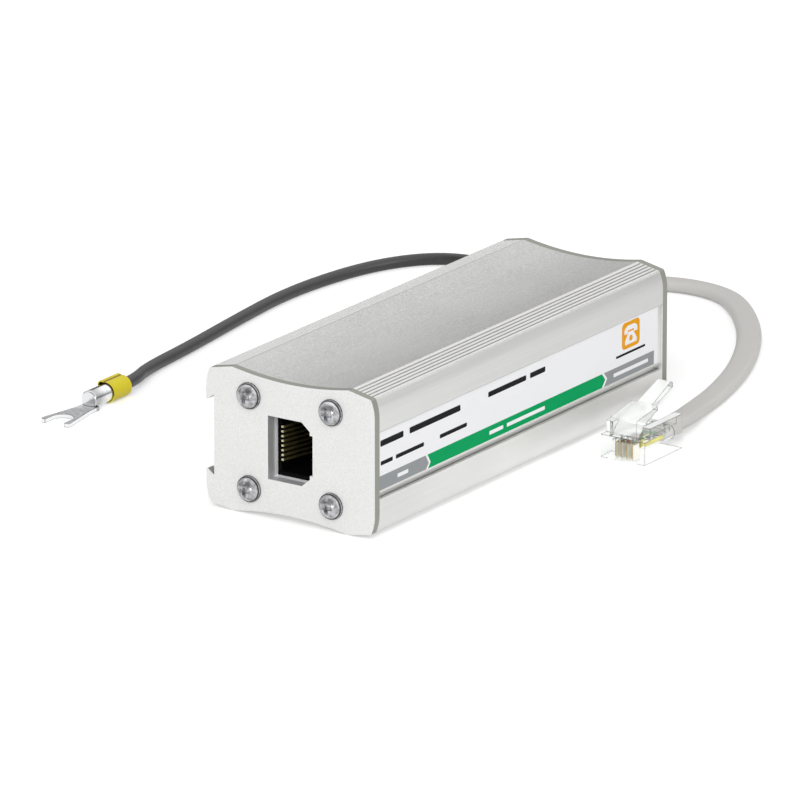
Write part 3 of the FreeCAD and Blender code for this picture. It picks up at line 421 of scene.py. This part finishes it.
def plain(name, color, rough=0.5, vary=0.08, scale=2.0, **extra):
    """Even surface with a fine grain in its tone, gloss and relief."""
    m = mat(name)
    grain = m.noise(scale, 4, 0.6)
    dark = tuple(c * (1 - vary) for c in color[:3]) + (1,)
    light = tuple(min(1, c * (1 + vary)) for c in color[:3]) + (1,)
    return m.finish(Base_Color=m.mix(grain, dark, light),
                    Roughness=m.range(grain, 0.2, 0.8, rough - 0.06, rough + 0.06),
                    Normal=m.bump(grain, 0.15, 0.02), **extra)


def screw_metal():
    """Bright plate with painted shade lines round the rim of each head and painted light in the
    cross recess.
    """
    m = mat("screw_metal")
    neck, rim_line, dome = 48.2, (48.42, 48.6), 48.7    # out from the case's middle
    out = m.away(m.axes()[0])
    grain = m.noise(1.1, 3, 0.6)
    color = m.mix(m.range(grain, 0.35, 0.65), grey(144, 2), grey(208, 3))
    # Painted light in the cross recess.
    recess = m.times(m.above(out, dome), m.range(m.away(m.normal()[0]), 0.45, 0.3))
    color = m.mix(recess, color, grey(236, 4))
    # Painted shade lines round the rim of each head.
    rim = m.either(m.below(out, neck), m.within(out, *rim_line))
    color = m.mix(m.times(rim, 0.85), color, grey(52, 2))
    return m.finish(Base_Color=color, Metallic=1.0, Roughness=m.range(grain, 0.2, 0.8, 0.2, 0.32),
                    Normal=m.bump(grain, 0.4, 0.08))


def contact_gold():
    """Gold spring contacts, with a painted highlight at the bend behind the socket's mouth and
    painted shade on the springs further in.
    """
    m = mat("contact_gold")
    bend, run = (-44.64, -44.52), (-44.3, -41.0)
    x = m.axes()[0]
    grain = m.noise(2.0, 3, 0.6)
    # Painted highlight at the bend; painted shade darkens the springs further in.
    deep = m.range(x, *bend)
    spring = m.mix(m.range(x, *run), srgb(160, 148, 96), srgb(114, 106, 70))
    spring = m.mix(m.times(grain, 0.4), spring, srgb(84, 76, 46))
    return m.finish(Base_Color=m.mix(deep, srgb(255, 246, 204), spring),
                    Metallic=m.range(deep, 0, 1, 0.35, 0.8), Roughness=0.34,
                    Normal=m.bump(grain, 0.15, 0.02))


def shield_metal():
    """Tin plated shield, with painted light brightening it towards the black insert."""
    m = mat("shield_metal")
    insert_rim = (-46.1, -45.8)
    grain = m.noise(2.0, 3, 0.6)
    # Painted light: a bright strip towards the black insert.
    bright = m.range(m.axes()[0], *insert_rim)
    color = m.mix(bright, m.mix(grain, grey(206, 4), grey(220, 4)), grey(254, 1))
    return m.finish(Base_Color=color, Metallic=m.range(bright, 0, 1, 0.3, 0.0), Roughness=0.35,
                    Normal=m.bump(grain, 0.1, 0.02))


def terminal_tin():
    """Tin plate: smooth and bright on the barrel with painted shade towards the fork, with scuffs
    across the flat fork whose top is painted darker as shade, and painted shade lines along sharp
    edges.
    """
    m = mat("terminal_tin")
    barrel_shade, fork_start, neck = (-11.4, -13.6), (-14.6, -14.9), (-17.5, -15.4)
    x = m.axes()[0]
    fork = m.range(x, *fork_start)
    flat = m.times(fork, m.range(m.normal()[2], 0.5, 0.9))
    scuff = m.noise(1, 3, 0.6, m.stretch(5.0, 1.2, 5.0))
    soft = m.noise(0.9, 2)
    bright = srgb(246, 247, 248)
    color = m.mix(m.range(soft, 0.35, 0.65), srgb(226, 227, 229), bright)
    # Painted shade on the barrel towards its fork end.
    color = m.mix(m.range(x, *barrel_shade, 0, 0.75), color, srgb(158, 159, 161))
    # Scuffs across the fork's top, which is also painted darker than its sides as shade.
    scuffs_and_shade = m.mix(m.range(scuff, 0.35, 0.65), srgb(146, 147, 149), srgb(222, 223, 225))
    scuffs_and_shade = m.mix(m.range(x, *neck), scuffs_and_shade, srgb(240, 241, 243))
    color = m.mix(flat, color, scuffs_and_shade)
    color = m.mix(m.times(fork, m.rest(flat)), color, bright)
    # Painted shade lines along sharp edges.
    color = m.mix(m.times(m.edges(0.3), 0.85), color, grey(60, 1))
    return m.finish(Base_Color=color, Metallic=1.0, Roughness=m.range(flat, 0, 1, 0.15, 0.34),
                    Normal=m.bump(m.times(scuff, flat), 0.4, 0.04))


def plug_gold():
    """Gold plated blades, with painted light on their wide faces and painted shade, a deeper tone,
    on their narrow faces.
    """
    m = mat("plug_gold")
    grain = m.noise(2.0, 3, 0.6)
    # Painted light and shade: the wide faces are painted pale, the narrow faces a deeper gold.
    wide = m.range(m.away(m.normal()[1]), 0.4, 0.8)
    pale = m.mix(grain, srgb(254, 250, 238), srgb(255, 253, 246))
    return m.finish(Base_Color=m.mix(wide, srgb(196, 170, 96), pale), Metallic=0.2,
                    Roughness=0.32, Normal=m.bump(grain, 0.15, 0.02))


def sleeve_yellow():
    """Yellow sleeve, with painted shade inside its openings and along the crease of its side lobe.
    """
    m = mat("sleeve_yellow")
    rim_radius, rim_fade, lobe_radius = 2.03, (1.2, 2.0), 0.63
    crease_width, crease_start = (0.34, 0.14), -9.45
    x, _, z = m.axes()
    grain = m.noise(2.0, 4, 0.6)
    # Painted shade inside the opening round the barrel and in the lobe's bore.
    rim = m.times(m.below(m.normal()[0], -0.7), m.below(m.around(BARREL_AXIS), rim_radius),
                  m.range(z, *rim_fade))
    bore = m.below(m.around(LOBE_AXIS), lobe_radius)
    # Painted shade line along the crease between sleeve and lobe.
    crease = m.times(m.range(m.around(CREASE_LINE), *crease_width), m.above(x, crease_start))
    color = m.mix(grain, srgb(216, 200, 32), srgb(228, 212, 38))
    color = m.mix(m.times(crease, 0.85), color, srgb(122, 94, 12))
    color = m.mix(m.either(rim, bore), color, srgb(54, 42, 10))
    return m.finish(Base_Color=color, Roughness=0.42, Specular_IOR_Level=0.3,
                    Normal=m.bump(grain, 0.15, 0.02))


def clear_plastic():
    """Moulded clear plastic with faint flow marks, painted white on top as light and painted dark
    along its edges as shade.
    """
    m = mat("plug_clear")
    slots_end, slots_top, slots_half = 24.4, 3.6, 3.2
    deck, wall_top, lever_rise = 4.6, (6.5, 6.7), (9.0, 9.4)
    flow = m.noise(0.5, 3, 0.5, m.stretch(0.5, 1.2, 1.2))
    x, y, z = m.axes()
    nx, ny, nz = m.normal()
    # Edges get painted shade; the slots of blades and cores keep only faint painted edges, because
    # many of them stand close together.
    hollow = m.times(m.below(x, slots_end), m.below(z, slots_top),
                     m.below(m.away(y, PLUG_MID_Y), slots_half))
    upright = m.range(m.away(m.times(nx, ny)), 0.15, 0.35, 0.0, 0.4)
    edge = m.times(m.either(m.edges(0.4), upright), m.range(z, 3.9, 5.0, 1.0, 0.75),
                   m.range(hollow, 0.0, 1.0, 1.0, 0.15))
    # Painted light: upward faces turn white and less clear on the latch, more so along its lever,
    # and on the tops of the side walls.
    wall = m.within(z, *wall_top)
    lever = m.range(z, *lever_rise, 0.4, 0.7)
    painted_light_tops = m.times(m.range(nz, 0.4, 0.7), m.above(z, deck), m.either(lever, wall))
    return m.finish(Base_Color=m.mix(edge, srgb(252, 253, 252), srgb(40, 42, 42)), Roughness=0.03,
                    IOR=1.07, Transmission_Weight=m.rest(painted_light_tops), Coat_Weight=0.8,
                    Normal=m.bump(flow, 0.05, 0.05))


CASE = case_aluminium()
PLATE = plate_metal()
SCREW = screw_metal()
LABEL = plain("label_vinyl", grey(240, 2), 0.4, vary=0.01, Specular_IOR_Level=0.3)
BOARD = plain("board_laminate", srgb(40, 95, 55), 0.35)
SHIELD = shield_metal()
BLACK = plain("socket_black", grey(6), 0.75, Specular_IOR_Level=0.1)
GOLD = contact_gold()
CERAMIC = plain("tube_ceramic", srgb(228, 226, 218), 0.5)
TAN = plain("resistor_lacquer", srgb(190, 172, 134), 0.4)
EPOXY = plain("diode_epoxy", grey(24, 2), 0.45)
INSULATION = plain("core_insulation", srgb(190, 60, 45), 0.4)
JACKET = plain("cable_jacket", srgb(199, 197, 194), 0.5, vary=0.03, scale=1.2)
WIRE = plain("wire_insulation", grey(49, 1), 0.38, vary=0.2, scale=1.2)
RUBBER = plain("grommet_rubber", grey(28, 1), 0.7)
CLEAR = clear_plastic()
PLUG_GOLD = plug_gold()
CORES = [plain("core_" + name, color, 0.35) for name, color in (
    ("yellow", srgb(216, 206, 88)), ("green", srgb(52, 132, 56)), ("red", srgb(176, 52, 34)),
    ("black", srgb(38, 36, 36)))]
TIN = terminal_tin()
YELLOW = sleeve_yellow()

FINISH = {
    "housing": CASE, "front_plate": PLATE, "rear_plate": PLATE, "front_screws": SCREW,
    "rear_screws": SCREW, "label": LABEL, "circuit_board": BOARD, "socket_shield": SHIELD,
    "socket_body": BLACK, "cable_tail": JACKET, "inner_cores": INSULATION, "earth_tail": WIRE,
    "cable_grommet": RUBBER, "wire_grommet": RUBBER, "plug_body": CLEAR, "plug_latch": CLEAR,
    "fork_terminal": TIN, "terminal_sleeve": YELLOW,
}
COUNTED = {
    "socket_contact": [GOLD] * 8, "gas_tube": [CERAMIC] * 2, "series_resistor": [TAN] * 4,
    "clamp_diode": [EPOXY] * 4, "plug_blade": [PLUG_GOLD] * 4, "plug_core": CORES,
}
for stem, materials in COUNTED.items():
    for i, material in enumerate(materials, 1):
        FINISH["%s_%d" % (stem, i)] = material
for name, material in FINISH.items():
    for s in nodes[name].material_slots:
        s.material = material

cords(JACKET, WIRE)


# Label print, in mm: each layer stands PRINT_T further out, and starts PRINT_T behind PRINT_Y
PRINT_Y = -18.02
PRINT_T = 0.012


def printed(name, outlines, materials, layer=1):
    """Thin printed fields: each outline is a list of (x, z) corners and a material index."""
    bm = bmesh.new()
    for corners, index in outlines:
        front, back = ([bm.verts.new((x * MM, y * MM, z * MM)) for x, z in corners]
                       for y in (PRINT_Y - PRINT_T * layer, PRINT_Y + PRINT_T))
        faces = [bm.faces.new(front), bm.faces.new(back[::-1])]
        for i in range(len(corners)):
            j = (i + 1) % len(corners)
            faces.append(bm.faces.new((front[j], front[i], back[i], back[j])))
        for f in faces:
            f.material_index = index
    return piece(name, from_bm(bm, name), materials, smooth=False)


def rounded(x0, x1, z0, z1, r, steps=4):
    """Corners of a rectangle with round corners."""
    out = []
    for cx, cz, start in ((x1 - r, z0 + r, -90), (x1 - r, z1 - r, 0),
                          (x0 + r, z1 - r, 90), (x0 + r, z0 + r, 180)):
        for i in range(steps + 1):
            a = math.radians(start + 90 * i / steps)
            out.append((cx + r * math.cos(a), cz + r * math.sin(a)))
    return out


def bars(height, *spans):
    """Bars with slightly round corners, each given by x0, x1 and the z of its middle."""
    return [(rounded(x0, x1, z - height / 2, z + height / 2, height * 0.2), 0)
            for x0, x1, z in spans]


def telephone(cx, cz, size):
    """Outlines of a plain telephone: an arched handset over a set with a round dial."""
    handset = [(-1.0, 0.12), (-1.0, 0.42), (-0.86, 0.66), (-0.5, 0.82), (0.5, 0.82), (0.86, 0.66),
               (1.0, 0.42), (1.0, 0.12), (0.5, 0.12), (0.44, 0.4), (-0.44, 0.4), (-0.5, 0.12)]
    body = [(-0.9, -0.82), (-0.9, -0.5), (-0.36, 0.24), (0.36, 0.24), (0.9, -0.5), (0.9, -0.82)]
    dial_z, dial_radius = -0.34, 0.26
    dial = [(dial_radius * math.cos(a), dial_z + dial_radius * math.sin(a))
            for a in (math.radians(turn) for turn in range(0, 360, 30))]
    return [[(cx + size * x, cz + size * z) for x, z in shape] for shape in (handset, body, dial)]


def label_print():
    ink_grey, ink_green, ink_dark, ink_white, ink_orange = (
        plain("print_" + name, color, 0.5, vary=0.02, Specular_IOR_Level=0.05)
        for name, color in (("grey", srgb(150, 153, 155)), ("green", srgb(0, 158, 92)),
                            ("dark", grey(26, 2)), ("white", grey(240, 2)),
                            ("orange", srgb(232, 160, 24))))
    lo, hi = 8.85, 11.5
    printed("label_bands", [
        ([(-46.25, lo), (-31.5, lo), (-30.66, 9.9), (-31.66, hi), (-46.25, hi)], 0),
        ([(-30.9, lo), (26.2, lo), (27.3, 10.2), (26.2, hi), (-31.06, hi), (-30.06, 9.9)], 1),
        ([(26.9, lo), (43.84, lo), (43.84, hi), (26.9, hi), (28.0, 10.2)], 0),
    ], [ink_grey, ink_green])
    printed("label_bars",
            bars(1.15, (-46.0, -38.7, 17.5), (-36.75, -20.5, 17.5))
            + bars(1.0, (-11.5, 0.9, 17.5), (2.2, 7.2, 17.5))
            + bars(0.75, (-45.9, -42.1, 13.8), (-41.1, -32.2, 13.8), (-27.1, -18.4, 13.8))
            + bars(0.45, (30.95, 40.8, 13.35)), [ink_dark])
    printed("band_bars",
            bars(0.7, (-40.6, -37.2, 10.18), (-11.1, -6.6, 10.18), (-5.4, 7.1, 10.18),
                 (30.1, 41.8, 10.18)), [ink_white], layer=2)
    printed("mark_tile", [(rounded(32.9, 38.9, 14.2, 19.3, 0.9), 0)], [ink_orange])
    handset, body, dial = telephone(35.9, 16.75, 2.2)
    printed("mark_telephone", [(handset, 0), (body, 0)], [ink_white], layer=2)
    printed("mark_dial", [(dial, 0)], [ink_orange], layer=3)


label_print()

# Stage and light
FLOOR_HALF = 6             # m
FLOOR_GLOW = 0.4           # added where the floor is seen, so that it comes out white
FLOOR_MIRRORED = 0.75      # the share of that glow that polished surfaces see
ROOM = 0.62                # how bright the room is where it lights plain surfaces
ROOM_MOST = 1.45           # the most that polished surfaces see of it
FLAG_WAY = (-0.76, 0.0, 0.65)    # way to the dark flag that polished surfaces see
FLAG = 0.6
AIM = (0, 0, 0.01)


def seen(m):
    """1 where the camera looks, straight or through the clear plug."""
    return m.either(m.ray("Camera"), m.ray("Transmission"))


def stage():
    """White floor that keeps the part's shadow."""
    bm = bmesh.new()
    bmesh.ops.create_grid(bm, x_segments=1, y_segments=1, size=FLOOR_HALF)
    m = mat("floor")
    shown = m.either(seen(m), m.times(m.ray("Glossy"), FLOOR_MIRRORED))
    diffuse = m.n("BsdfDiffuse", {"Color": (0.8, 0.8, 0.8, 1)})
    glow = m.n("Emission", {"Color": (1, 1, 1, 1), "Strength": m.times(shown, FLOOR_GLOW)})
    m.n("OutputMaterial", {"Surface": m.n("AddShader", {0: diffuse, 1: glow})})
    piece("floor", from_bm(bm, "floor"), [m.owner], body=None)


def studio():
    """White surroundings. Polished surfaces see them darken towards the far side of the room."""
    scene.world = bpy.data.worlds.new("studio")
    w = Nodes(scene.world)
    way = w.n("TexCoord", out="Generated")
    x, y, z = w.parts(way)
    far = w.math("ADD", w.times(x, 0.83), w.times(y, 0.56))
    front = w.range(x, 0.1, -0.5)
    rise = w.times(z, w.math("SUBTRACT", 1.75, w.times(front, 1.5)))
    mirrored = w.math("ADD", w.math("SUBTRACT", 0.36, w.times(far, 0.25)), rise)
    mirrored = w.math("ADD", mirrored, w.times(front, 0.22))
    flag = w.times(w.range(w.dot(way, FLAG_WAY), 0.8, 0.95), FLAG)
    mirrored = w.math("SUBTRACT", w.math("MINIMUM", mirrored, ROOM_MOST), flag)
    shine = w.times(w.ray("Glossy"), w.rest(w.ray("Transmission")))
    level = w.math("ADD", ROOM, w.times(shine, w.math("SUBTRACT", mirrored, ROOM)))
    shown = seen(w)
    level = w.math("ADD", w.times(level, w.rest(shown)), shown)
    w.n("OutputWorld", {"Surface": w.n("Background", {"Color": (1, 1, 1, 1), "Strength": level})})


def lamp(name, place, size, power, size_y=None, lights=True, shines=True):
    """Area lamp aimed at the part. It lights surfaces, shows in polished ones, or both."""
    data = bpy.data.lights.new(name, "AREA")
    data.shape = "RECTANGLE"
    data.size, data.size_y = size, size_y or size
    data.energy = power
    obj = bpy.data.objects.new(name, data)
    scene.collection.objects.link(obj)
    obj.location = place
    obj.rotation_mode = "QUATERNION"
    obj.rotation_quaternion = (Vector(AIM) - Vector(place)).to_track_quat("-Z", "Y")
    obj.visible_diffuse = obj.visible_transmission = lights
    obj.visible_glossy = shines


stage()
studio()
lamp("key", (-1.1, -0.5, 0.9), 0.8, 10, shines=False)
lamp("window", (-1.29, -0.52, 0.06), 0.16, 2.4, size_y=0.36, lights=False)
lamp("side", (0.3, -1.2, 0.5), 0.6, 3)

scene.view_settings.view_transform = "Standard"
